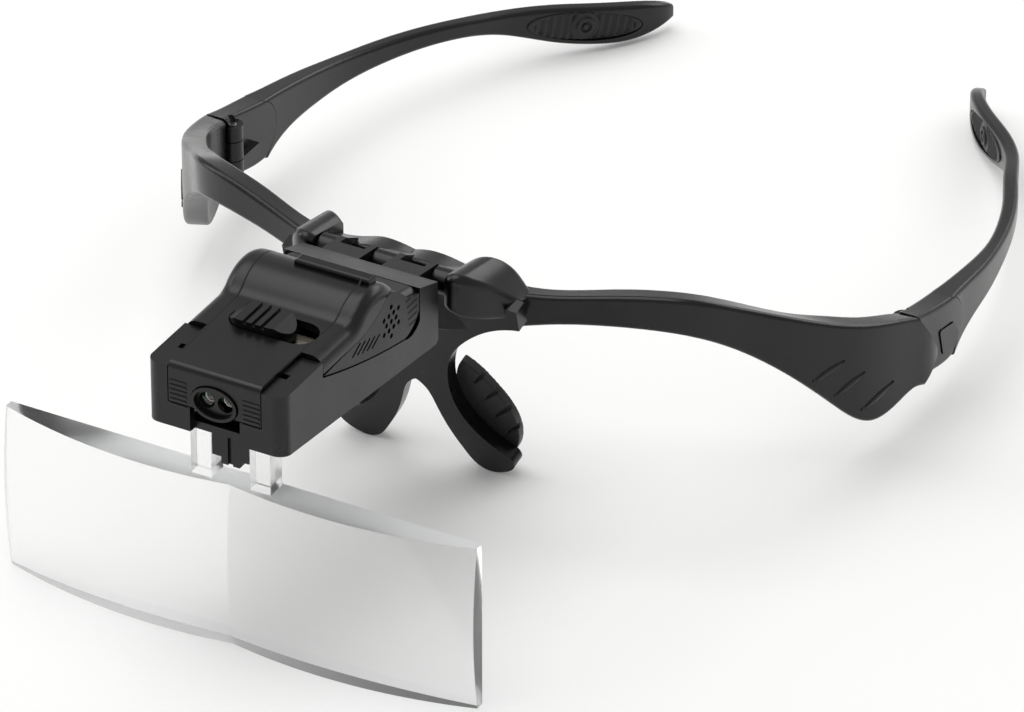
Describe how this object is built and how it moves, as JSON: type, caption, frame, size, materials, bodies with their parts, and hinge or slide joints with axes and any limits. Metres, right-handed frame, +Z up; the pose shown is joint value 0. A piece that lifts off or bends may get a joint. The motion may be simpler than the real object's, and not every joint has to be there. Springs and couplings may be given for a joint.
{
  "type": "lighted magnifier glasses",
  "caption": "Spectacle frame with a fold-up lamp unit that carries a clear double magnifying lens in front of the eyes.",
  "frame": {"origin": "middle of the outline on the table, below the face between the lamp and the temple tips", "axes": "+Z up from the table, -Y the way the wearer looks, +X to the right of the picture, X=0 the plane of symmetry"},
  "size_m": [0.1518, 0.233, 0.0627],
  "materials": {
    "frame_black": "satin moulded",
    "lamp_black": "fine grained",
    "pad_rubber": "matte",
    "steel": "polished",
    "led_clear": "clear cast",
    "board": "satin",
    "resistor": "glazed",
    "contact": "plated",
    "lens_clear": "clear polished"
  },
  "bodies": {
    "frame": {"front_frame": "frame_black", "hinge_rod": "steel", "nose_pad_left": "pad_rubber", "nose_pad_right": "pad_rubber", "fold_pin_left": "steel", "fold_pin_right": "steel"},
    "lamp": {"lamp_base": "lamp_black", "lamp_top_shell": "lamp_black", "side_grille_left": "lamp_black", "side_grille_right": "lamp_black", "led_bezel": "lamp_black", "led_left": "led_clear", "led_right": "led_clear", "led_board": "board", "current_resistor": "resistor", "switch_body": "board", "button_cells": "steel", "contact_plate": "contact", "contact_spring": "contact", "battery_door": "lamp_black", "door_screw": "steel", "shell_screws": "steel", "lens_latch": "lamp_black"},
    "slider": {"switch_slider": "lamp_black"},
    "lens": {"magnifier_lens": "lens_clear"},
    "block_left": {"hinge_block_left": "frame_black"},
    "block_right": {"hinge_block_right": "frame_black"},
    "button_left": {"release_button_left": "frame_black", "release_spring_left": "steel"},
    "button_right": {"release_button_right": "frame_black", "release_spring_right": "steel"},
    "temple_left": {"temple_arm_left": "frame_black", "ear_pad_left": "pad_rubber"},
    "temple_right": {"temple_arm_right": "frame_black", "ear_pad_right": "pad_rubber"}
  },
  "joints": [
    {"name": "lamp_lift", "type": "hinge", "parent": "frame", "child": "lamp", "pos_m": [0, -0.0559, 0.0482], "axis": [-1, 0, 0], "range_deg": [0, 90]},
    {"name": "switch_slide", "type": "slide", "parent": "lamp", "child": "slider", "axis": [1, 0, 0], "range_m": [0, 0.0044]},
    {"name": "lens_pull", "type": "slide", "parent": "lamp", "child": "lens", "axis": [0, 0, -1], "range_m": [0, 0.01]},
    {"name": "fold_left", "type": "hinge", "parent": "frame", "child": "block_left", "pos_m": [-0.0705, 0.0094, 0.0178], "axis": [0, 0, -1], "range_deg": [0, 90]},
    {"name": "fold_right", "type": "hinge", "parent": "frame", "child": "block_right", "pos_m": [0.0705, 0.0094, 0.0178], "axis": [0, 0, 1], "range_deg": [0, 62]},
    {"name": "pull_left", "type": "slide", "parent": "block_left", "child": "temple_left", "axis": [0, 1, 0], "range_m": [0, 0.012]},
    {"name": "pull_right", "type": "slide", "parent": "block_right", "child": "temple_right", "axis": [0, 1, 0], "range_m": [0, 0.012]},
    {"name": "press_left", "type": "slide", "parent": "block_left", "child": "button_left", "axis": [1, 0, 0], "range_m": [0, 0.0006], "stiffness_N_per_m": 400},
    {"name": "press_right", "type": "slide", "parent": "block_right", "child": "button_right", "axis": [-1, 0, 0], "range_m": [0, 0.0006], "stiffness_N_per_m": 400}
  ]
}
